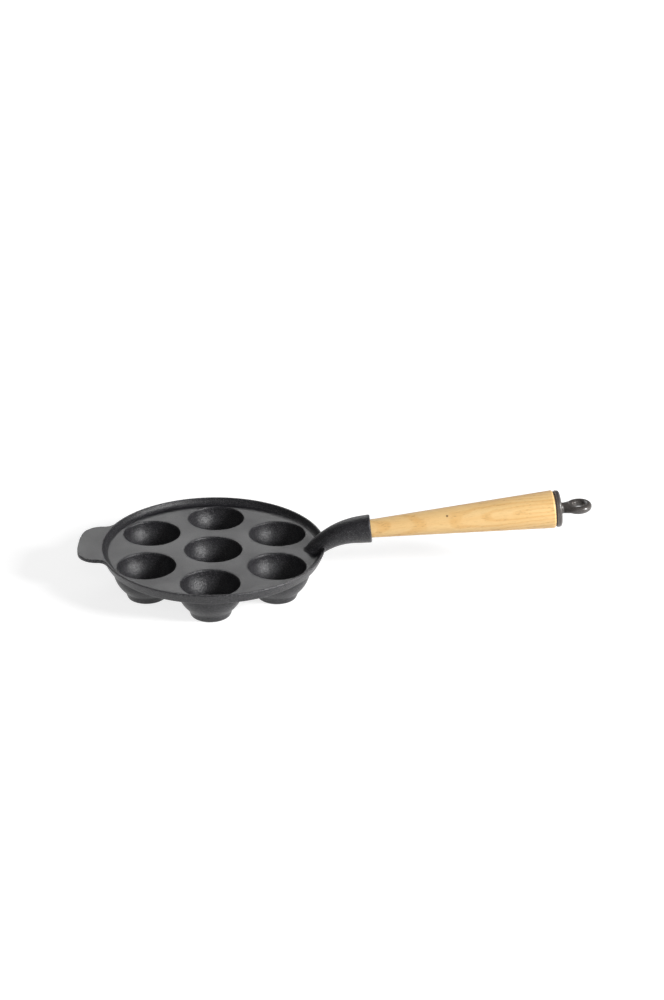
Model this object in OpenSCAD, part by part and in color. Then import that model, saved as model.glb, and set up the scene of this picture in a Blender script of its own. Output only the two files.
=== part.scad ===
// Cast iron pancake ball pan with seven round cups and a turned wood handle.
// Origin: middle of the plane that the feet stand on. +X points to the handle, +Z is up.

/* [Pan] */
// Diameter over the rim
pan_d = 210; // [204:1:216]
// Height of the rim above the table
rim_h = 36.8; // [36:0.1:38]
// Width of the flat on top of the rim
rim_flat = 3; // [2.4:0.1:3.6]
// Depth of the tray from the rim down to its floor
tray_depth = 6.2; // [5.8:0.1:6.6]
// Thickness of the plate that the cups hang from
plate_t = 4.35; // [4:0.05:4.8]
// How far the outer wall draws in between the rim and its lower edge
wall_draft = 4.8; // [4:0.1:5]
// Radius of the fillet between the tray's floor and its wall
tray_fillet = 6; // [5.5:0.1:6.2]

/* [Cups] */
// Number of cups on the ring around the middle one
ring_cups = 6; // [6:1:6]
// Distance from the middle of the pan to the middle of an outer cup
cup_ring_r = 68.7; // [67:0.1:69.5]
// Diameter of a cup's mouth
cup_d = 53; // [50:0.5:53.5]
// Depth of a cup below the tray's floor
cup_depth = 25; // [24:0.1:25.6]
// Width of the softened edge around a cup's mouth
cup_edge = 0.7; // [0.4:0.1:0.9]
// Outer radius of the bowl under a cup
bowl_r = 30.7; // [30.2:0.1:31]
// How far the bowl's centre lies below the cup's centre
bowl_drop = 2.3; // [2:0.1:2.6]
// Diameter of a foot where it stands on the table
foot_d = 36; // [34:0.5:37]
// Draft of a foot's side, in degrees
foot_draft = 19; // [15:0.5:21]
// Rounding of a foot's lower edge
foot_round = 1.2; // [0.8:0.1:1.6]

/* [Helper tab] */
// Reach of the tab from the middle of the pan
tab_reach = 125.4; // [123:0.1:128]
// Width of the tab
tab_w = 71.6; // [68:0.2:74]
// Thickness of the tab
tab_t = 3.8; // [3.4:0.1:4.2]
// Radius of the tab's outer corners
tab_corner_r = 19; // [16:0.5:22]
// Radius of the fillets between the tab and the rim
tab_fillet_r = 8; // [6:0.5:9]

/* [Arm and socket] */
// Upward tilt of the handle, in degrees
tilt = 7; // [6:0.25:8]
// Distance of the socket's mouth from the middle of the pan
mouth_x = 146.45; // [145:0.1:148]
// Height of the socket's mouth at the handle's axis
mouth_z = 52.5; // [52:0.1:53]
// Length of the straight socket before the arm bends
socket_straight = 12.6; // [12:0.1:14]
// Radius of the arm's bend
arm_bend_r = 65; // [63:0.5:67]
// Slope at which the arm runs into the tray's floor, in degrees
arm_end_slope = 56; // [54:0.5:57]
// Outer diameter of the socket at its mouth
mouth_d = 26.8; // [26:0.1:27.4]
// Diameter of the arm where the bend starts
arm_d = 25.4; // [25:0.1:26]
// Diameter of the arm at its thin end in the tray
arm_end_d = 14; // [13:0.5:15]
// How much the lower half of the arm draws in from its parting line
arm_keel = 0.14; // [0.05:0.01:0.2]
// Diameter of the socket's bore
socket_bore_d = 17.6; // [17.6:0.05:17.8]
// Depth of the socket's bore
socket_depth = 18; // [16:0.5:18]

/* [Wood handle] */
// Length of the handle outside the socket
grip_len = 170.7; // [160:0.1:180]
// Diameter of the handle where it leaves the socket
grip_d1 = 17.4; // [17.2:0.05:17.5]
// Diameter of the handle at its thick end
grip_d2 = 35.5; // [34:0.1:37]
// Rounding of the thick end's edge
grip_round = 1.8; // [1:0.1:2.5]
// Diameter of the hole that the rod runs through
rod_hole_d = 6.6; // [6.4:0.1:7]

/* [Rod and washer] */
// Diameter of the tie rod
rod_d = 6; // [6:1:6]
// How far the rod is screwed into the casting
rod_grip = 12; // [10:0.5:12]
// How far the rod is screwed into the hanging eye
rod_reach = 9; // [8.6:0.1:9.2]
// Diameter of the washer
washer_d = 32.6; // [31:0.1:33]
// Thickness of the washer
washer_t = 1.3; // [1:0.1:1.6]

/* [Hanging eye] */
// Diameter of the cap that closes the handle
cap_d = 34.5; // [33:0.1:35]
// Thickness of the cap
cap_t = 4.6; // [4:0.1:5]
// Diameter of the neck between the cap and the ring
neck_d = 10.1; // [10:0.1:11]
// Radius of the fillet between the cap and the neck
neck_fillet = 3; // [2.6:0.1:3.2]
// Outer diameter of the ring
eye_d = 24.6; // [24:0.1:25.5]
// Thickness of the ring
eye_bar_d = 7.2; // [7:0.1:7.4]
// Diameter of the hanging hole
eye_hole_d = 10.8; // [10.6:0.1:11]
// Distance from the socket's mouth to the middle of the ring
eye_at = 193.6; // [193:0.1:194.5]

/* [Hidden] */
$fn = 96;
eps = 0.01;

// Pan
rim_r = pan_d / 2;
floor_z = rim_h - tray_depth;
under_z = floor_z - plate_t;
wall_foot_r = rim_r - wall_draft;
rim_in_r = rim_r - rim_flat;
tray_wall_lean = 1;
rim_round = 0.8;
rim_inner_round = 0.8;
wall_foot_round = 0.4;

// Cups, bowls and feet
cup_ball_r = (pow(cup_d / 2, 2) + pow(cup_depth, 2)) / (2 * cup_depth);
cup_ball_z = floor_z - cup_depth + cup_ball_r;
bowl_z = cup_ball_z - bowl_drop;
bowl_top_z = under_z + plate_t / 2;
foot_top_z = 9;
foot_top_r = foot_d / 2 + foot_top_z * tan(foot_draft);
cup_places = concat([[0, 0]], [for (i = [0 : ring_cups - 1])
    let (a = (i + 0.5) * 360 / ring_cups) cup_ring_r * [cos(a), sin(a)]]);

// Tab
tab_sink = 0.6;
tab_inner_r = rim_r - rim_flat * 0.8;
tab_edge_round = 1;

// Arm
arm_sides = 28;
arm_bend_steps = 18;
arm_neck_slope = 28;
arm_neck_d = 20.2;
mouth_round = 0.8;
arm_floor_z = under_z + wall_foot_round;
bend_start = [mouth_x, mouth_z] - socket_straight * [cos(tilt), sin(tilt)];
bend_centre = bend_start + arm_bend_r * [sin(tilt), -cos(tilt)];

// Handle
socket_gap = 0.15;
rod_fit = 0.04;
rod_chamfer = 0.6;
end_play = 0.2;
tapped_depth = rod_reach + 1;
cap_at = grip_len + washer_t;
cap_round = 2.2;
cap_back_round = 0.6;
web_spread = 48;
mouth_chamfer = 0.8;

// Points of an arc from angle a0 to angle a1
function arc(centre, r, a0, a1, steps) =
    [for (i = [0 : steps]) let (a = a0 + (a1 - a0) * i / steps) centre + r * [cos(a), sin(a)]];

function unit(v) = v / norm(v);

// Turn from angle a to angle b by the shorter way
function turn(a, b) = b - a > 180 ? b - a - 360 : b - a < -180 ? b - a + 360 : b - a;

// Points of the arc that rounds corner p between its neighbours a and b
function corner(a, p, b, r, steps) =
    let (u = unit(a - p), v = unit(b - p), half = acos(u * v) / 2)
    let (c = p + unit(u + v) * r / sin(half))
    let (s = p + u * r / tan(half) - c, e = p + v * r / tan(half) - c)
    let (a0 = atan2(s[1], s[0]))
    arc(c, r, a0, a0 + turn(a0, atan2(e[1], e[0])), steps);

// Outline through corners, each given as [x, y, rounding radius]
function rounded(corners, steps = 5) =
    [for (i = [0 : len(corners) - 1])
        let (n = len(corners), p = corners[i], q = corners[(i + n - 1) % n], s = corners[(i + 1) % n])
        let (xy = [p[0], p[1]])
        each p[2] > 0 ? corner([q[0], q[1]], xy, [s[0], s[1]], p[2], steps) : [xy]];

// Puts a shape on the handle's axis, with its +Z pointing away from the pan
module on_handle_axis() {
    translate([mouth_x, 0, mouth_z]) rotate([0, 90 - tilt, 0]) children();
}

// Plate, outer wall and rim, turned about the middle of the pan
module tray() {
    rotate([0, 0, 107]) rotate_extrude()
        polygon(rounded([
            [0, under_z, 0],
            [wall_foot_r, under_z, wall_foot_round],
            [rim_r, rim_h, rim_round],
            [rim_in_r, rim_h, rim_inner_round],
            [rim_in_r - tray_wall_lean, floor_z, tray_fillet],
            [0, floor_z, 0]
        ]));
}

// Outside of one cup: a bowl that meets a drafted foot in a crease
module bowl() {
    intersection() {
        translate([0, 0, bowl_z]) sphere(r = bowl_r);
        cylinder(r = bowl_r + 1, h = bowl_top_z);
    }
    rotate_extrude()
        polygon(rounded([
            [0, 0, 0],
            [foot_d / 2, 0, foot_round],
            [foot_top_r, foot_top_z, 0],
            [0, foot_top_z, 0]
        ]));
}

// Inside of one cup, with the softened edge of its mouth
module cup_space() {
    mouth_r = cup_d / 2;
    translate([0, 0, cup_ball_z]) sphere(r = cup_ball_r);
    translate([0, 0, floor_z - cup_edge])
        cylinder(r1 = mouth_r, r2 = mouth_r + 2 * cup_edge, h = 2 * cup_edge);
    translate([0, 0, floor_z + cup_edge / 2]) cylinder(r = mouth_r, h = tray_depth);
}

// Flat lug opposite the handle, level with the rim
module helper_tab() {
    side_y = tab_w / 2;
    corner_y = side_y - tab_corner_r;
    corner_x = -sqrt(pow(tab_reach - tab_corner_r, 2) - pow(corner_y, 2));
    corner_a = atan2(corner_y, corner_x);
    fillet_y = side_y + tab_fillet_r;
    fillet_x = -sqrt(pow(rim_r + tab_fillet_r - tab_sink, 2) - pow(fillet_y, 2));
    fillet_a = atan2(fillet_y, fillet_x) - 180;
    half = concat(
        arc([fillet_x, fillet_y], tab_fillet_r, fillet_a, -90, 6),
        arc([corner_x, corner_y], tab_corner_r, 90, corner_a, 8),
        arc([0, 0], tab_reach, corner_a + 3, 180, 3)
    );
    mirrored = [for (i = [len(half) - 2 : -1 : 0]) [half[i][0], -half[i][1]]];
    translate([0, 0, rim_h - tab_t])
        difference() {
            linear_extrude(tab_t) polygon(concat(half, mirrored));
            translate([0, 0, -1]) cylinder(r = tab_inner_r, h = tab_t + 2);
        }
}

// Diameter of the arm where it slopes by angle a
function arm_width(a) =
    a < arm_neck_slope
    ? arm_d + (arm_neck_d - arm_d) * (a - tilt) / (arm_neck_slope - tilt)
    : arm_neck_d + (arm_end_d - arm_neck_d) * (a - arm_neck_slope) / (arm_end_slope - arm_neck_slope);

// One ring of the arm: round above its parting line, drawn in below it
function arm_ring(centre, slope, d) =
    [for (k = [0 : arm_sides - 1])
        let (t = 360 * k / arm_sides, up = sin(t), draw = up < 0 ? 1 + arm_keel * up : 1)
        let (u = d / 2 * up, v = d / 2 * cos(t) * draw)
        [centre[0] - u * sin(slope), v, centre[1] + u * cos(slope)]];

function bend_point(a) = bend_centre + arm_bend_r * [-sin(a), cos(a)];

// Curved arm from the tray's floor, over the rim and up to the socket's mouth
module arm_body() {
    slopes = [for (i = [0 : arm_bend_steps]) arm_end_slope + (tilt - arm_end_slope) * i / arm_bend_steps];
    along = [cos(tilt), sin(tilt)];
    mouth = [mouth_x, mouth_z];
    rings = concat(
        [for (a = slopes) arm_ring(bend_point(a), a, arm_width(a))],
        [arm_ring(mouth - mouth_round * along, tilt, mouth_d)],
        [arm_ring(mouth - mouth_round * 0.3 * along, tilt, mouth_d - mouth_round * 0.6)],
        [arm_ring(mouth, tilt, mouth_d - 2 * mouth_round)]
    );
    n = arm_sides;
    last = (len(rings) - 1) * n;
    sides = [for (j = [0 : len(rings) - 2], k = [0 : n - 1])
        let (a = j * n + k, b = j * n + (k + 1) % n)
        each [[a, b + n, b], [a, a + n, b + n]]];
    ends = [[for (k = [0 : n - 1]) k], [for (k = [0 : n - 1]) last + n - 1 - k]];
    polyhedron([for (r = rings) each r], concat(sides, ends));
}

// Arm cut level with the underside of the plate, so that nothing hangs below it
module arm() {
    intersection() {
        arm_body();
        translate([0, -mouth_d, arm_floor_z]) cube([2 * mouth_x, 2 * mouth_d, 2 * mouth_z]);
    }
}

// Bore for the handle's spigot, and the tapped hole behind it for the rod
module socket_space() {
    on_handle_axis() {
        translate([0, 0, -socket_depth]) cylinder(d = socket_bore_d, h = socket_depth + 1);
        translate([0, 0, -mouth_chamfer])
            cylinder(d1 = socket_bore_d, d2 = socket_bore_d + 4 * mouth_chamfer, h = 2 * mouth_chamfer);
        translate([0, 0, -socket_depth - rod_grip - 1])
            cylinder(d = rod_d + 2 * rod_fit, h = rod_grip + 2);
    }
}

// The whole pan: one iron casting
module pan_casting() {
    color([0.10, 0.10, 0.11])
        difference() {
            union() {
                tray();
                for (p = cup_places) translate([p[0], p[1], 0]) bowl();
                helper_tab();
                arm();
            }
            for (p = cup_places) translate([p[0], p[1], 0]) cup_space();
            socket_space();
        }
}

// Steel rod screwed into the casting; it runs through the handle into the hanging eye
module tie_rod() {
    low = -socket_depth - rod_grip;
    high = cap_at + rod_reach;
    color([0.62, 0.62, 0.64])
        on_handle_axis()
        rotate_extrude()
        polygon([
            [0, low],
            [rod_d / 2 - rod_chamfer, low],
            [rod_d / 2, low + rod_chamfer],
            [rod_d / 2, high - rod_chamfer],
            [rod_d / 2 - rod_chamfer, high],
            [0, high]
        ]);
}

// Turned beech handle: a spigot in the socket, then a straight taper to the thick end
module wood_handle() {
    spigot_r = socket_bore_d / 2 - socket_gap;
    color([0.86, 0.64, 0.38])
        on_handle_axis()
        difference() {
            rotate_extrude()
                polygon(rounded([
                    [0, -socket_depth + end_play, 0],
                    [spigot_r, -socket_depth + end_play, 0.8],
                    [grip_d1 / 2, grip_len * 0.02, 0],
                    [grip_d2 / 2, grip_len, grip_round],
                    [0, grip_len, 0]
                ], 6));
            translate([0, 0, -socket_depth - 1]) cylinder(d = rod_hole_d, h = grip_len + socket_depth + 2);
        }
}

// Thin dark washer between the wood and the cap
module seat_washer() {
    color([0.06, 0.06, 0.06])
        on_handle_axis()
        translate([0, 0, grip_len])
        difference() {
            rotate_extrude()
                polygon(rounded([
                    [0, 0, 0],
                    [washer_d / 2, 0, 0.3],
                    [washer_d / 2, washer_t, 0.3],
                    [0, washer_t, 0]
                ], 3));
            translate([0, 0, -1]) cylinder(d = rod_hole_d, h = washer_t + 2);
        }
}

// Web that flares from the neck into the near side of the ring
module eye_web() {
    ring_r = (eye_d - eye_bar_d) / 2;
    hull() {
        translate([0, 0, cap_at + cap_t + neck_fillet]) cylinder(d = neck_d, h = eps, $fn = 32);
        for (side = [-1, 1])
            translate([0, side * ring_r * sin(web_spread), eye_at - ring_r * cos(web_spread)])
                sphere(d = eye_bar_d - 0.6, $fn = 32);
    }
}

// Cast cap, neck and hanging ring, tapped for the rod
module hanging_eye() {
    neck_end = eye_at - eye_d / 2 + eye_bar_d / 2;
    color([0.16, 0.15, 0.15])
        on_handle_axis()
        difference() {
            union() {
                rotate_extrude()
                    polygon(rounded([
                        [0, cap_at, 0],
                        [cap_d / 2, cap_at, cap_back_round],
                        [cap_d / 2 - 0.4, cap_at + cap_t, cap_round],
                        [neck_d / 2, cap_at + cap_t, neck_fillet],
                        [neck_d / 2, neck_end, 0],
                        [0, neck_end, 0]
                    ], 6));
                eye_web();
                translate([0, 0, eye_at])
                    rotate([0, 90, 0])
                    rotate_extrude() translate([(eye_d - eye_bar_d) / 2, 0]) circle(d = eye_bar_d, $fn = 48);
            }
            translate([0, 0, cap_at - 1]) cylinder(d = rod_d + 2 * rod_fit, h = tapped_depth + 1);
            translate([-eye_bar_d, 0, eye_at]) rotate([0, 90, 0]) cylinder(d = eye_hole_d, h = 2 * eye_bar_d);
        }
}

pan_casting();
tie_rod();
wood_handle();
seat_washer();
hanging_eye();
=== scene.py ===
# Cast iron pancake ball pan with seven cups, a turned beech handle and a screw-on hanging eye.
import math

import bmesh
import bpy
import numpy as np
from mathutils import Matrix, Vector


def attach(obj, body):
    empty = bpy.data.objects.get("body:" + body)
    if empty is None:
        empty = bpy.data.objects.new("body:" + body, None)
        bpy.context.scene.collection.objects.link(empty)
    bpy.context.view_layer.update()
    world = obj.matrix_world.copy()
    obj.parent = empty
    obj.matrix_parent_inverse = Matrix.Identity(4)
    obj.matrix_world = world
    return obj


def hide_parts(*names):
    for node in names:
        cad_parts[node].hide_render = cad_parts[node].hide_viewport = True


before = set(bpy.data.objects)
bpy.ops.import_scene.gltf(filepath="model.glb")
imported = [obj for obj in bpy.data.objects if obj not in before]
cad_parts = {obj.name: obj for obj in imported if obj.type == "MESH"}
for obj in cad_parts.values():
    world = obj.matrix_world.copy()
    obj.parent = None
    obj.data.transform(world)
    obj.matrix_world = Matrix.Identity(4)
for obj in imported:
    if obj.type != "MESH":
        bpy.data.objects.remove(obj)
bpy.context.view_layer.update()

MM = 0.001

# The handle's axis: where it leaves the socket, and the way it points
TILT = math.radians(7)
SOCKET_MOUTH = Vector((146.45, 0, 52.5)) * MM
AXIS = Vector((math.cos(TILT), 0, math.sin(TILT)))

# Finishes, as linear colours
IRON_BLACK = (0.008, 0.008, 0.010, 1)
# Light grey of the iron's speckle, wear and dust; in the speckle it is partly painted glint, for the
# highlights' sparkle
IRON_GREY = (0.170, 0.165, 0.175, 1)
EYE_BROWN = (0.050, 0.044, 0.041, 1)
# Grey of the eye's speckle, wear and dust, and of the rod's grime; in the speckle it is partly painted
# glint
EYE_GREY = (0.240, 0.220, 0.205, 1)
BEECH_PALE = (0.930, 0.640, 0.295, 1)
BEECH_WARM = (0.820, 0.460, 0.150, 1)
BEECH_DARK = (0.420, 0.190, 0.060, 1)
KNOT_BROWN = (0.120, 0.050, 0.020, 1)
RUBBER_BLACK = (0.018, 0.018, 0.018, 1)
STEEL_GREY = (0.520, 0.520, 0.530, 1)

# Camera at the photograph's angle: distances in metres, lens and sensor in millimetres
CAMERA_ELEVATION = math.radians(24.468)
CAMERA_AZIMUTH = math.radians(-2.088)
CAMERA_ROLL = math.radians(1.112)
CAMERA_DISTANCE = 1.515284
CAMERA_RIGHT = 0.111163
CAMERA_UP = 0.073629
LENS = 58.004
SENSOR = 36

# Soft lamps: name, place, width and height in metres, and power in watts
LAMPS = (
    ("key", (1.62, -0.80, 0.92), 0.45, 0.45, 44),
    ("back", (-0.25, 1.6, 0.95), 1.2, 0.4, 6),
    ("fill", (0.3, -1.9, 1.6), 1.0, 0.6, 4),
)
LAMP_AIM = (0.08, 0.0, 0.03)

# Floor: its reach each way in metres, and its greys as a light bounces off it and as it is looked at
FLOOR_REACH = 30
FLOOR_MATT = (0.8, 0.8, 0.8, 1)
FLOOR_SEEN = (0.42, 0.42, 0.42, 1)

# Glow of the floor near the pan, what is added far off, and the distances in metres between them
GLOW_NEAR = 0.80
GLOW_ADDED = 0.26
GLOW_FROM = 0.35
GLOW_TO = 1.6

# Light of the surround at the horizon and overhead; overhead is where a direction rises this steeply
HORIZON_LIGHT = 0.30
OVERHEAD_LIGHT = 0.08
OVERHEAD_RISE = 0.75

# Cast skin: the fine grain's scale as a multiple of the coarse grain's, and the patches' scale per metre
FINE_GRAIN = 3.1
PATCH_SCALE = 26.0

# Cast skin: how much of the worn colour its speckle, which is partly painted glint, and its dust bring,
# and how its roughness changes with the patches, about the middle of their noise, and where it is worn
SPECKLE_AND_GLINT_SHARE = 0.60
DUST_SHARE = 0.05
NOISE_MIDDLE = 0.5
PATCHY_ROUGHNESS = 0.25
WORN_POLISH = -0.12

# Cast skin: each grain's part in the height of the pebbles, and how strongly they show
COARSE_HEIGHT = 0.7
FINE_HEIGHT = 0.3
PEBBLE_STRENGTH = 0.8

# Wood grain and drawn streaks: scales per metre along the handle and across it
FIBRE_SCALE = (90, 2400, 2400)
FLECK_SCALE = (210, 1300, 1300)
STREAK_SCALE = (9, 160, 160)
DRAWN_SCALE = (60, 1800, 1800)

# Growth rings: where the middle of the log lies from the socket's mouth, its slant, and the rings in it
LOG_PLACE = Vector((152, -15.0, 6.8)) * MM
LOG_SLANT = (0, math.radians(-4.0), math.radians(-9.0))
RING_SCALE = 85
RING_WAVER = 3.2
RING_DETAIL = 3
RING_DETAIL_SCALE = 0.5

# Beech: how much rings and streaks warm it, and how much fibres and flecks darken it
RING_WARMTH = 0.38
STREAK_WARMTH = 0.42
FIBRE_SHARE = 0.22
FLECK_SHARE = 0.42

# Flecks keep to the rings: their share between the rings, what a ring adds, and how deep they lie
FLECK_BETWEEN = 0.25
FLECK_ON_RING = 0.75
FLECK_DEPTH = 0.6

# Knot: its place from the socket's mouth, and the radii of its soft edge
KNOT_PLACE = Vector((71.0, -8.9, 8.7)) * MM
KNOT_OUTER = 1.4 * MM
KNOT_CORE = 0.5 * MM

# Washer and rod: scales per metre of the moulded grain and of the thread's grime
MOULDED_SCALE = 1800.0
GRIME_SCALE = 160.0

# Castings: size of the mould's smallest form, rounds that fill corners, and most triangles
PAN_VOXEL = 0.8 * MM
PAN_FILL_ROUNDS = 24
PAN_TRIANGLES = 190000
EYE_VOXEL = 0.35 * MM
EYE_FILL_ROUNDS = 12
EYE_TRIANGLES = 90000

# How far apart loose corners are joined in a copy of a solid
MERGE_DISTANCE = 0.001 * MM

# How a casting is softened: rounds over all of it, how far a vertex moves in each, and the bend in one
# voxel from which a corner starts to fill and over which it fills wholly
SOFTEN_ROUNDS = 5
SMOOTH_FACTOR = 0.5
HOLLOW_FROM = 0.05
HOLLOW_SPAN = 0.15

# Bend per metre where an outer edge starts to wear, and over how much more it is worn through
EDGE_FROM = 150
EDGE_SPAN = 450

# Passes that even out the bend, and a guard against dividing by nothing, in square metres
BEND_PASSES = 3
LEAST_SPACING = 1e-12

# Flat tops, which the mould leaves smoother: the share of the grain that is left on them, how far
# their normal points up, and over how much less than that the grain comes back
SMOOTH_SHARE = 0.22
TOP_LEVEL = 0.995
TOP_SPAN = 0.10

# Rolled thread of the tie rod: pitch, radii of its crest and root, steps in a turn, and the spare
# turns that are cut off each end
PITCH = 1.0 * MM
CREST = 2.95 * MM
ROOT = 2.45 * MM
STEPS = 16
SPARE_TURNS = 2

# How near two turns are joined, and how near its cut an edge of the rod's end lies
THREAD_MERGE = 0.01 * MM
CUT_SLACK = 0.02 * MM

# Outline of one turn of thread: radius, and how far along the pitch
THREAD_PROFILE = ((ROOT, 0.0), (CREST, 0.42), (CREST, 0.54), (ROOT, 0.96), (ROOT, 1.0))

# The colour sockets of a Mix node, which has a set for each kind of data
MIX_SHARE = 0
MIX_FIRST = 6
MIX_SECOND = 7
MIX_RESULT = 2


def place_object(name, data):
    """New object of some data, put in the scene."""
    placed = bpy.data.objects.new(name, data)
    bpy.context.scene.collection.objects.link(placed)
    return placed


def make_camera():
    """Camera on the view that was fitted to the pan's circles, cups and feet."""
    e = CAMERA_ELEVATION
    a = CAMERA_AZIMUTH
    back = Vector((math.sin(a) * math.cos(e), -math.cos(a) * math.cos(e), math.sin(e)))
    level = (-back).cross(Vector((0, 0, 1))).normalized()
    upright = level.cross(-back)
    right = math.cos(CAMERA_ROLL) * level + math.sin(CAMERA_ROLL) * upright
    up = math.cos(CAMERA_ROLL) * upright - math.sin(CAMERA_ROLL) * level
    place = Matrix((right, up, back)).transposed().to_4x4()
    place.translation = back * CAMERA_DISTANCE + right * CAMERA_RIGHT + up * CAMERA_UP
    lens = bpy.data.cameras.new("camera")
    lens.sensor_fit = "VERTICAL"
    lens.sensor_height = SENSOR
    lens.lens = LENS
    camera = place_object("camera", lens)
    camera.matrix_world = place
    bpy.context.scene.camera = camera


def make_softbox(name, place, width, height, power):
    """Flat rectangular studio lamp at place, facing the pan."""
    lamp = bpy.data.lights.new(name, "AREA")
    lamp.shape = "RECTANGLE"
    lamp.size = width
    lamp.size_y = height
    lamp.energy = power
    softbox = place_object(name, lamp)
    softbox.location = place
    softbox.rotation_euler = (Vector(LAMP_AIM) - Vector(place)).to_track_quat("-Z", "Y").to_euler()


def link(tree, out, into):
    """Joins an output to an input."""
    tree.links.new(out, into)


def add(tree, kind, **settings):
    """New node of a kind, with its settings; names with a leading in_ set an input's value."""
    node = tree.nodes.new(kind)
    for key, value in settings.items():
        if key.startswith("in_"):
            node.inputs[key[3:].replace("_", " ")].default_value = value
        else:
            setattr(node, key, value)
    return node


def math_node(tree, operation, a, b, clamp=False):
    """Math node on sockets or numbers; returns its output."""
    node = add(tree, "ShaderNodeMath", operation=operation, use_clamp=clamp)
    for socket, value in zip(node.inputs, (a, b)):
        if isinstance(value, (int, float)):
            socket.default_value = value
        else:
            link(tree, value, socket)
    return node.outputs[0]


def times(tree, a, b):
    """Product of two sockets or numbers."""
    return math_node(tree, "MULTIPLY", a, b)


def plus(tree, a, b, clamp=False):
    """Sum of two sockets or numbers, held between 0 and 1 if clamp is set."""
    return math_node(tree, "ADD", a, b, clamp)


def mix_colour(tree, share, a, b):
    """Colour between a and b by share, each a socket or a value."""
    node = add(tree, "ShaderNodeMix", data_type="RGBA")
    sockets = (node.inputs[MIX_SHARE], node.inputs[MIX_FIRST], node.inputs[MIX_SECOND])
    for socket, value in zip(sockets, (share, a, b)):
        if hasattr(value, "is_linked"):
            link(tree, value, socket)
        else:
            socket.default_value = value
    return node.outputs[MIX_RESULT]


def noise(tree, vector, scale=1.0, detail=3.0, rough=0.5):
    """Noise texture on a vector; returns its value output. The scale is a number or a socket."""
    node = add(tree, "ShaderNodeTexNoise", in_Detail=detail, in_Roughness=rough)
    link(tree, vector, node.inputs["Vector"])
    if hasattr(scale, "is_linked"):
        link(tree, scale, node.inputs["Scale"])
    else:
        node.inputs["Scale"].default_value = scale
    return node.outputs["Fac"]


def band(tree, value, low, high):
    """Runs from 0 where value is low to 1 where it is high."""
    node = add(tree, "ShaderNodeMapRange", in_From_Min=low, in_From_Max=high)
    link(tree, value, node.inputs["Value"])
    return node.outputs[0]


def new_material(name):
    """Material with an empty tree but for its shader and output; returns it, its tree and shader."""
    material = bpy.data.materials.new(name)
    material.use_nodes = True
    shader = material.node_tree.nodes["Principled BSDF"]
    return material, material.node_tree, shader


def add_relief(tree, shader, height, strength, depth):
    """Bumps a shader's surface by a height, as deep as depth in metres."""
    bump = add(tree, "ShaderNodeBump", in_Strength=strength, in_Distance=depth)
    link(tree, height, bump.inputs["Height"])
    link(tree, bump.outputs["Normal"], shader.inputs["Normal"])


def vary_roughness(tree, shader, value, spread, base):
    """Roughness that rises from base by spread as a value goes from 0 to 1."""
    link(tree, plus(tree, times(tree, value, spread), base), shader.inputs["Roughness"])


# Sockets of the cast skin: way, name and kind
SKIN_SOCKETS = (
    ("INPUT", "Vector", "Vector"),
    ("INPUT", "Colour", "Color"),
    ("INPUT", "Worn Colour", "Color"),
    ("INPUT", "Grain Scale", "Float"),
    ("INPUT", "Edge", "Float"),
    ("INPUT", "Grain", "Float"),
    ("INPUT", "Roughness", "Float"),
    ("OUTPUT", "Colour", "Color"),
    ("OUTPUT", "Roughness", "Float"),
    ("OUTPUT", "Height", "Float"),
)


def make_cast_skin():
    """Skin of a sand casting: pebbled grain, grey speckle partly painted as glint, and wear on outer
    edges.
    """
    group = bpy.data.node_groups.new("cast_skin", "ShaderNodeTree")
    for way, name, kind in SKIN_SOCKETS:
        group.interface.new_socket(name, in_out=way, socket_type="NodeSocket" + kind)
    given = add(group, "NodeGroupInput").outputs
    made = add(group, "NodeGroupOutput").inputs
    vector = given["Vector"]
    coarse = noise(group, vector, given["Grain Scale"], detail=5.0, rough=0.65)
    fine = noise(group, vector, times(group, given["Grain Scale"], FINE_GRAIN), detail=2.0)
    patches = noise(group, vector, PATCH_SCALE, detail=4.0)

    # Grey speckle of the skin: partly the casting's own speckle, partly painted glint that stands for
    # the highlights' sparkle
    speckle_and_glint = times(group, band(group, fine, low=0.50, high=0.72), given["Grain"])
    worn = times(group, given["Edge"], band(group, coarse, low=0.30, high=0.62))
    lighter = plus(group, times(group, speckle_and_glint, SPECKLE_AND_GLINT_SHARE), worn, clamp=True)
    dusty = times(group, band(group, patches, low=0.42, high=0.75), DUST_SHARE)
    share = plus(group, lighter, dusty, clamp=True)
    link(group, mix_colour(group, share, given["Colour"], given["Worn Colour"]), made["Colour"])

    spread = times(group, math_node(group, "SUBTRACT", patches, NOISE_MIDDLE), PATCHY_ROUGHNESS)
    rough = plus(group, given["Roughness"], spread)
    polished = times(group, worn, WORN_POLISH)
    link(group, plus(group, rough, polished, clamp=True), made["Roughness"])

    pebbles = plus(group, times(group, coarse, COARSE_HEIGHT), times(group, fine, FINE_HEIGHT))
    link(group, times(group, pebbles, given["Grain"]), made["Height"])
    return group


def make_iron(name, skin, colour, worn, grain, roughness, bump, specular):
    """Cast iron in the cast skin, with its own colours, grain per metre, depth of bump and gloss."""
    material, tree, shader = new_material(name)
    use = add(tree, "ShaderNodeGroup", node_tree=skin, in_Colour=colour, in_Worn_Colour=worn,
              in_Grain_Scale=grain, in_Roughness=roughness)
    place = add(tree, "ShaderNodeTexCoord")
    link(tree, place.outputs["Object"], use.inputs["Vector"])
    for attribute, socket in (("edge", "Edge"), ("grain", "Grain")):
        stored = add(tree, "ShaderNodeAttribute", attribute_name=attribute)
        link(tree, stored.outputs["Fac"], use.inputs[socket])
    link(tree, use.outputs["Colour"], shader.inputs["Base Color"])
    link(tree, use.outputs["Roughness"], shader.inputs["Roughness"])
    add_relief(tree, shader, use.outputs["Height"], PEBBLE_STRENGTH, bump)
    shader.inputs["Specular IOR Level"].default_value = specular
    return material


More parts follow.
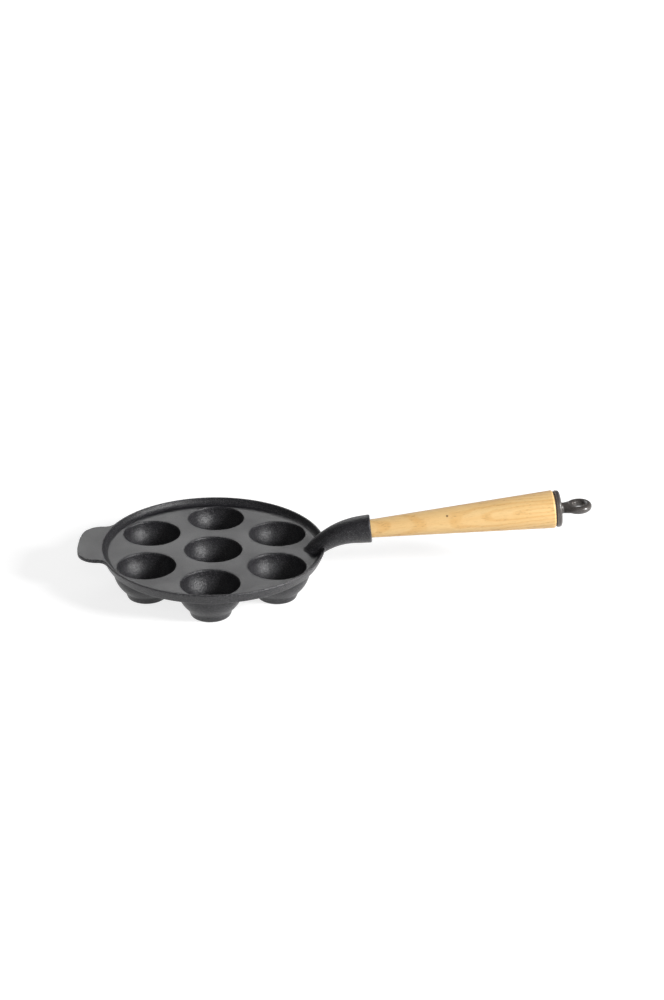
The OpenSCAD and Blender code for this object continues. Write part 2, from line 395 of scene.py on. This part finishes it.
def along_handle(tree):
    """Object coordinates turned to the handle, X along it from the socket's mouth."""
    place = add(tree, "ShaderNodeTexCoord")
    turned = add(tree, "ShaderNodeMapping", vector_type="TEXTURE")
    turned.inputs["Location"].default_value = SOCKET_MOUTH
    turned.inputs["Rotation"].default_value = (0, -TILT, 0)
    link(tree, place.outputs["Object"], turned.inputs["Vector"])
    return turned.outputs[0]


def stretch(tree, vector, scale):
    """A vector scaled along each of its axes."""
    stretched = add(tree, "ShaderNodeMapping", in_Scale=scale)
    link(tree, vector, stretched.inputs["Vector"])
    return stretched.outputs[0]


def growth_rings(tree, along):
    """Rings of the log that the handle was turned from, which run out in arches."""
    log = add(tree, "ShaderNodeMapping", vector_type="TEXTURE", in_Location=LOG_PLACE,
              in_Rotation=LOG_SLANT)
    link(tree, along, log.inputs["Vector"])
    rings = add(tree, "ShaderNodeTexWave", wave_type="RINGS", rings_direction="X", in_Scale=RING_SCALE,
                in_Distortion=RING_WAVER, in_Detail=RING_DETAIL, in_Detail_Scale=RING_DETAIL_SCALE)
    link(tree, log.outputs[0], rings.inputs["Vector"])
    return band(tree, rings.outputs["Fac"], low=0.55, high=0.95)


def dark_knot(tree, along):
    """Spot with a soft edge where the knot is."""
    away = add(tree, "ShaderNodeVectorMath", operation="DISTANCE")
    away.inputs[1].default_value = KNOT_PLACE
    link(tree, along, away.inputs[0])
    return band(tree, away.outputs["Value"], low=KNOT_OUTER, high=KNOT_CORE)


def make_beech():
    """Oiled beech: growth rings that run out in arches, fine fibres, short dark flecks and one knot."""
    material, tree, shader = new_material("beech")
    along = along_handle(tree)
    ring = growth_rings(tree, along)
    streaks = noise(tree, stretch(tree, along, STREAK_SCALE), detail=4.0, rough=0.6)
    streak = band(tree, streaks, low=0.35, high=0.70)
    fibre = noise(tree, stretch(tree, along, FIBRE_SCALE), detail=3.0, rough=0.6)
    flecks = noise(tree, stretch(tree, along, FLECK_SCALE), detail=1.0)
    fleck = band(tree, flecks, low=0.60, high=0.68)

    warmth = plus(tree, times(tree, ring, RING_WARMTH), times(tree, streak, STREAK_WARMTH))
    body = mix_colour(tree, warmth, BEECH_PALE, BEECH_WARM)
    fibre_share = times(tree, band(tree, fibre, low=0.50, high=0.80), FIBRE_SHARE)
    fibred = mix_colour(tree, fibre_share, body, BEECH_DARK)
    on_rings = plus(tree, times(tree, ring, FLECK_ON_RING), FLECK_BETWEEN)
    fleck_share = times(tree, times(tree, fleck, on_rings), FLECK_SHARE)
    flecked = mix_colour(tree, fleck_share, fibred, BEECH_DARK)
    knotted = mix_colour(tree, dark_knot(tree, along), flecked, KNOT_BROWN)
    link(tree, knotted, shader.inputs["Base Color"])

    vary_roughness(tree, shader, fibre, spread=0.20, base=0.34)
    relief = math_node(tree, "SUBTRACT", fibre, times(tree, fleck, FLECK_DEPTH))
    add_relief(tree, shader, relief, strength=0.35, depth=0.12 * MM)
    shader.inputs["Specular IOR Level"].default_value = 0.4
    return material


def make_rubber():
    """Matt black washer with a faint moulded grain."""
    material, tree, shader = new_material("washer_rubber")
    place = add(tree, "ShaderNodeTexCoord")
    grain = noise(tree, place.outputs["Object"], MOULDED_SCALE)
    link(tree, mix_colour(tree, grain, RUBBER_BLACK, IRON_GREY), shader.inputs["Base Color"])
    vary_roughness(tree, shader, grain, spread=0.2, base=0.6)
    add_relief(tree, shader, grain, strength=0.4, depth=0.05 * MM)
    return material


def make_steel():
    """Drawn steel of the tie rod, with streaks along it and a little thread grime."""
    material, tree, shader = new_material("rod_steel")
    streak = noise(tree, stretch(tree, along_handle(tree), DRAWN_SCALE))
    place = add(tree, "ShaderNodeTexCoord")
    smears = noise(tree, place.outputs["Object"], GRIME_SCALE, detail=4.0)
    grime = band(tree, smears, low=0.48, high=0.75)
    link(tree, mix_colour(tree, grime, STEEL_GREY, EYE_GREY), shader.inputs["Base Color"])
    vary_roughness(tree, shader, streak, spread=0.2, base=0.25)
    shader.inputs["Metallic"].default_value = 1.0
    return material


def read_values(items, name, width, kind):
    """Values that a mesh holds under a name for each of its items, one row each."""
    values = np.empty(len(items) * width, kind)
    items.foreach_get(name, values)
    return values.reshape(-1, width)


def surface_bend(mesh):
    """Bend of the surface at each vertex, per metre: above 0 on outer edges, below 0 in hollows."""
    count = len(mesh.vertices)
    points = read_values(mesh.vertices, "co", 3, np.float32).astype(float)
    normals = read_values(mesh.vertices, "normal", 3, np.float32)
    edges = read_values(mesh.edges, "vertices", 2, np.int32)
    ends = np.concatenate((edges[:, 0], edges[:, 1]))
    others = np.concatenate((edges[:, 1], edges[:, 0]))
    shares = np.maximum(np.bincount(ends, minlength=count), 1)

    def around(values):
        return np.bincount(ends, weights=values[others], minlength=count) / shares

    mean = np.stack([around(points[:, i]) for i in range(3)], axis=1)
    steps = np.linalg.norm(points[ends] - points[others], axis=1) ** 2
    spacing = np.bincount(ends, weights=steps, minlength=count) / shares
    bend = 2 * np.sum((points - mean) * normals, axis=1) / np.maximum(spacing, LEAST_SPACING)
    for _ in range(BEND_PASSES):
        bend = 0.5 * bend + 0.5 * around(bend)
    return bend


def settle(piece):
    """Takes a piece's modifiers into its mesh."""
    evaluated = piece.evaluated_get(bpy.context.evaluated_depsgraph_get())
    mesh = bpy.data.meshes.new_from_object(evaluated)
    piece.modifiers.clear()
    old = piece.data
    piece.data = mesh
    bpy.data.meshes.remove(old)


def merged_copy(node, name):
    """Copy of a node's solid as a piece of its own, with its loose triangles joined."""
    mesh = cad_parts[node].data.copy()
    work = bmesh.new()
    work.from_mesh(mesh)
    bmesh.ops.remove_doubles(work, verts=work.verts, dist=MERGE_DISTANCE)
    work.to_mesh(mesh)
    work.free()
    mesh.materials.clear()
    return place_object(name, mesh)


def smooth(piece, name, rounds):
    """Modifier that evens a piece out, once for each round."""
    modifier = piece.modifiers.new(name, "SMOOTH")
    modifier.factor = SMOOTH_FACTOR
    modifier.iterations = rounds
    return modifier


def store(mesh, name, values):
    """Keeps a value at each vertex, for the mesh's material to read."""
    attribute = mesh.attributes.new(name, "FLOAT", "POINT")
    attribute.data.foreach_set("value", values.astype(np.float32))


def make_casting(node, name, voxel, fill_rounds, most_triangles):
    """Copy of a node's solid with the soft edges and filled corners that a sand mould gives."""
    piece = merged_copy(node, name)
    remesh = piece.modifiers.new("mould", "REMESH")
    remesh.mode = "VOXEL"
    remesh.voxel_size = voxel
    smooth(piece, "soften", SOFTEN_ROUNDS)
    settle(piece)

    hollow = np.clip((-surface_bend(piece.data) * voxel - HOLLOW_FROM) / HOLLOW_SPAN, 0, 1)
    hollows = piece.vertex_groups.new(name="hollows")
    for index in np.flatnonzero(hollow > 0):
        hollows.add([int(index)], float(hollow[index]), "REPLACE")
    smooth(piece, "fill corners", fill_rounds).vertex_group = "hollows"
    thin = piece.modifiers.new("thin", "DECIMATE")
    squares = len(piece.data.polygons)
    thin.ratio = min(1.0, most_triangles / (2 * squares))
    settle(piece)
    piece.vertex_groups.clear()

    upward = np.array([v.normal.z for v in piece.data.vertices])
    store(piece.data, "edge", np.clip((surface_bend(piece.data) - EDGE_FROM) / EDGE_SPAN, 0, 1))
    store(piece.data, "grain", np.clip((TOP_LEVEL - upward) / TOP_SPAN, SMOOTH_SHARE, 1))
    piece.data.shade_smooth()
    return piece


def cut_square(work, level, outward):
    """Cuts a thread off at a level and closes its end; outward is the way that is cut away."""
    geom = work.verts[:] + work.edges[:] + work.faces[:]
    bmesh.ops.bisect_plane(work, geom=geom, plane_co=(0, 0, level), plane_no=(0, 0, outward),
                           clear_outer=True)
    rim = [e for e in work.edges
           if e.is_boundary and all(abs(v.co.z - level) < CUT_SLACK for v in e.verts)]
    bmesh.ops.holes_fill(work, edges=rim, sides=0)


def make_tie_rod():
    """Steel rod with a rolled thread from end to end, as long as the frame's rod."""
    points = [(v.co - SOCKET_MOUTH).dot(AXIS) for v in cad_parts["tie_rod"].data.vertices]
    low = min(points)
    high = max(points)
    turns = round((high - low) / PITCH) + 2 * SPARE_TURNS
    start = low - SPARE_TURNS * PITCH
    work = bmesh.new()
    verts = [work.verts.new((r, 0, start + share * PITCH)) for r, share in THREAD_PROFILE]
    edges = [work.edges.new(pair) for pair in zip(verts, verts[1:])]
    bmesh.ops.spin(work, geom=verts + edges, cent=(0, 0, 0), axis=(0, 0, 1), dvec=(0, 0, PITCH / STEPS),
                   angle=2 * math.pi * turns, steps=STEPS * turns, use_duplicate=False)
    bmesh.ops.remove_doubles(work, verts=work.verts, dist=THREAD_MERGE)
    cut_square(work, low, -1)
    cut_square(work, high, 1)
    turn = Vector((0, 0, 1)).rotation_difference(AXIS).to_matrix().to_4x4()
    bmesh.ops.transform(work, matrix=Matrix.Translation(SOCKET_MOUTH) @ turn, verts=work.verts)
    bmesh.ops.recalc_face_normals(work, faces=work.faces)
    mesh = bpy.data.meshes.new("threaded_rod")
    work.to_mesh(mesh)
    work.free()
    mesh.shade_smooth()
    return place_object("threaded_rod", mesh)


def dress(piece, material):
    """Gives a piece one material."""
    piece.data.materials.clear()
    piece.data.materials.append(material)


def make_floor_white():
    """White of the floor: it glows where it is looked at, more so far off, and keeps a soft shadow."""
    material = bpy.data.materials.new("floor_white")
    material.use_nodes = True
    tree = material.node_tree
    tree.nodes.clear()
    out = add(tree, "ShaderNodeOutputMaterial")
    path = add(tree, "ShaderNodeLightPath")
    matt = add(tree, "ShaderNodeBsdfDiffuse", in_Color=FLOOR_MATT)
    seen = add(tree, "ShaderNodeBsdfDiffuse", in_Color=FLOOR_SEEN)
    glow = add(tree, "ShaderNodeEmission")
    place = add(tree, "ShaderNodeTexCoord")
    reach = add(tree, "ShaderNodeVectorMath", operation="LENGTH")
    link(tree, place.outputs["Object"], reach.inputs[0])
    away = band(tree, reach.outputs["Value"], low=GLOW_FROM, high=GLOW_TO)
    link(tree, plus(tree, times(tree, away, GLOW_ADDED), GLOW_NEAR), glow.inputs["Strength"])
    both = add(tree, "ShaderNodeAddShader")
    link(tree, seen.outputs[0], both.inputs[0])
    link(tree, glow.outputs[0], both.inputs[1])
    looked_at = path.outputs["Is Camera Ray"]
    for ray in ("Is Glossy Ray", "Is Transmission Ray"):
        looked_at = math_node(tree, "MAXIMUM", looked_at, path.outputs[ray])
    choose = add(tree, "ShaderNodeMixShader")
    link(tree, looked_at, choose.inputs[0])
    link(tree, matt.outputs[0], choose.inputs[1])
    link(tree, both.outputs[0], choose.inputs[2])
    link(tree, choose.outputs[0], out.inputs["Surface"])
    return material


def make_floor():
    """Wide flat floor under the pan's feet."""
    work = bmesh.new()
    bmesh.ops.create_grid(work, x_segments=1, y_segments=1, size=FLOOR_REACH)
    mesh = bpy.data.meshes.new("floor")
    work.to_mesh(mesh)
    work.free()
    floor = place_object("floor", mesh)
    dress(floor, make_floor_white())


def make_surround():
    """White behind all, which lights the pan from the horizon more than from overhead."""
    world = bpy.data.worlds.new("surround")
    bpy.context.scene.world = world
    world.use_nodes = True
    tree = world.node_tree
    background = tree.nodes["Background"]
    background.inputs["Color"].default_value = (1, 1, 1, 1)
    path = add(tree, "ShaderNodeLightPath")
    direction = add(tree, "ShaderNodeTexCoord")
    split = add(tree, "ShaderNodeSeparateXYZ")
    link(tree, direction.outputs["Generated"], split.inputs[0])
    light = add(tree, "ShaderNodeMapRange", in_From_Min=0.0, in_From_Max=OVERHEAD_RISE,
                in_To_Min=HORIZON_LIGHT, in_To_Max=OVERHEAD_LIGHT)
    link(tree, split.outputs["Z"], light.inputs["Value"])
    strength = math_node(tree, "MAXIMUM", path.outputs["Is Camera Ray"], light.outputs[0])
    link(tree, strength, background.inputs["Strength"])


make_camera()
make_floor()
make_surround()
for lamp_name, lamp_place, lamp_width, lamp_height, lamp_power in LAMPS:
    make_softbox(lamp_name, lamp_place, lamp_width, lamp_height, lamp_power)

cast_skin = make_cast_skin()
# The irons' worn colours also colour the speckle, which is partly painted glint
pan_iron = make_iron("pan_iron", cast_skin, IRON_BLACK, IRON_GREY,
                     grain=520.0, roughness=0.35, bump=0.70 * MM, specular=0.42)
eye_iron = make_iron("eye_iron", cast_skin, EYE_BROWN, EYE_GREY,
                     grain=900.0, roughness=0.30, bump=0.10 * MM, specular=0.6)

pan = make_casting("pan_casting", "cast_pan", PAN_VOXEL, PAN_FILL_ROUNDS, PAN_TRIANGLES)
dress(pan, pan_iron)
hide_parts("pan_casting")
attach(pan, "pan")

eye = make_casting("hanging_eye", "cast_hanging_eye", EYE_VOXEL, EYE_FILL_ROUNDS, EYE_TRIANGLES)
dress(eye, eye_iron)
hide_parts("hanging_eye")
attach(eye, "eye")

rod = make_tie_rod()
dress(rod, make_steel())
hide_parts("tie_rod")
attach(rod, "pan")

dress(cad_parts["wood_handle"], make_beech())
dress(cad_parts["seat_washer"], make_rubber())

bpy.context.scene.view_settings.view_transform = "Standard"
